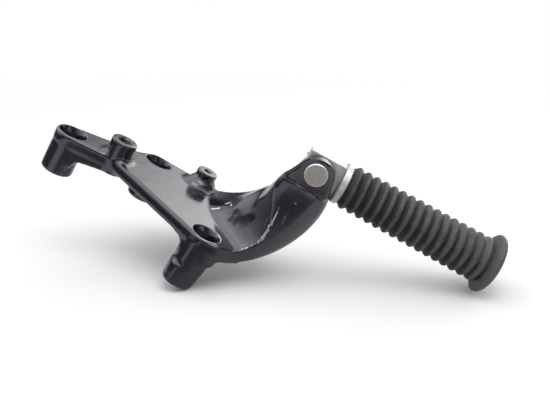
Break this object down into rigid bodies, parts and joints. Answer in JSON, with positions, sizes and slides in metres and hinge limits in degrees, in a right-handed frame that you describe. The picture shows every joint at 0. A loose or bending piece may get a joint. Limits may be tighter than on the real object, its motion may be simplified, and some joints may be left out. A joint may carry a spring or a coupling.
{
  "type": "motorcycle footrest hanger",
  "caption": "Cast black motorcycle footrest hanger with counterbored bolt bosses and a folding footrest in a ribbed rubber sleeve.",
  "frame": {"origin": "centre of the front bolt boss's foot, on that bolt's axis", "axes": "+X along the open footrest seen from above, +Y from the near ear of the fork to the far ear, +Z along the bolts, out of the counterbored face"},
  "size_m": [0.2813, 0.0947, 0.1268],
  "materials": {
    "black_paint": "gloss, chipped",
    "pin_steel": "dull, spotted with rust",
    "aluminium": "satin",
    "black_rubber": "matt"
  },
  "bodies": {
    "hanger": {"hanger": "black_paint", "pivot_pin": "pin_steel", "pin_washer": "pin_steel", "split_pin": "pin_steel"},
    "footrest": {"footrest_bar": "aluminium", "rubber_sleeve": "black_rubber"}
  },
  "joints": [
    {"name": "footrest_fold", "type": "hinge", "parent": "hanger", "child": "footrest", "pos_m": [0.0382, 0.007, 0.1057], "axis": [0, -1, 0], "range_deg": [0, 85]}
  ]
}
